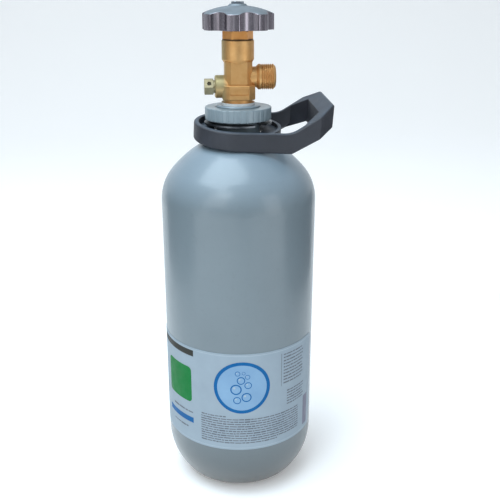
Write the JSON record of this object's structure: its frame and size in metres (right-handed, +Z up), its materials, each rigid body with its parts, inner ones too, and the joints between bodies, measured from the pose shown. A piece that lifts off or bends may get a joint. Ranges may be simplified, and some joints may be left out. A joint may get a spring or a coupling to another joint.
{
  "type": "gas cylinder with valve",
  "caption": "Small steel carbon dioxide cylinder with a brass handwheel valve, side outlet, burst-disc plug and a swivelling plastic carry handle.",
  "frame": {"origin": "centre of the standing base, on the cylinder's axis", "axes": "+Z up along the cylinder's axis, +X along the valve outlet"},
  "size_m": [0.1512, 0.1403, 0.4494],
  "materials": {
    "shell_paint": "satin grey-blue enamel",
    "ring_paint": "satin grey-blue enamel",
    "spring_steel": "oiled spring steel",
    "black_plastic": "moulded, lightly textured",
    "label_paper": "printed adhesive film",
    "ptfe_tape": "wound tape",
    "valve_brass": "forged and machined",
    "gland_brass": "machined",
    "dark_fibre": "fibre washer",
    "nylon": "moulded nylon",
    "spindle_brass": "turned",
    "seal_rubber": "nitrile",
    "wheel_alloy": "cast, satin top and bright sides",
    "plated_steel": "zinc plated",
    "safety_brass": "pale machined brass",
    "copper": "annealed copper",
    "nickel_foil": "rolled foil"
  },
  "bodies": {
    "cylinder": {"cylinder_shell": "shell_paint", "neck_ring": "ring_paint", "handle_retaining_ring": "spring_steel", "label": "label_paper", "thread_seal_tape": "ptfe_tape", "valve_body": "valve_brass", "gland_nut": "gland_brass", "gland_washer": "dark_fibre", "thrust_washer": "nylon", "safety_plug": "safety_brass", "safety_gasket": "copper", "burst_disc": "nickel_foil"},
    "handle": {"carry_handle": "black_plastic"},
    "spindle": {"spindle": "spindle_brass", "spindle_o_ring": "seal_rubber", "handwheel": "wheel_alloy", "wheel_spring": "spring_steel", "wheel_washer": "plated_steel", "wheel_nut": "plated_steel"},
    "plug": {"valve_plug": "spindle_brass", "seat_insert": "nylon"}
  },
  "joints": [
    {"name": "valve_turn", "type": "hinge", "parent": "cylinder", "child": "spindle", "pos_m": [0, 0, 0.42], "axis": [0, 0, 1], "range_deg": [0, 720]},
    {"name": "plug_lift", "type": "slide", "parent": "spindle", "child": "plug", "axis": [0, 0, 1], "range_m": [0, 0.0031]},
    {"name": "handle_swivel", "type": "hinge", "parent": "cylinder", "child": "handle", "pos_m": [0, 0, 0.343], "axis": [0, 0, 1], "continuous": true}
  ],
  "couplings": [
    {"joint": "plug_lift", "follows": "valve_turn", "m_per_rad": 0.00023873}
  ]
}
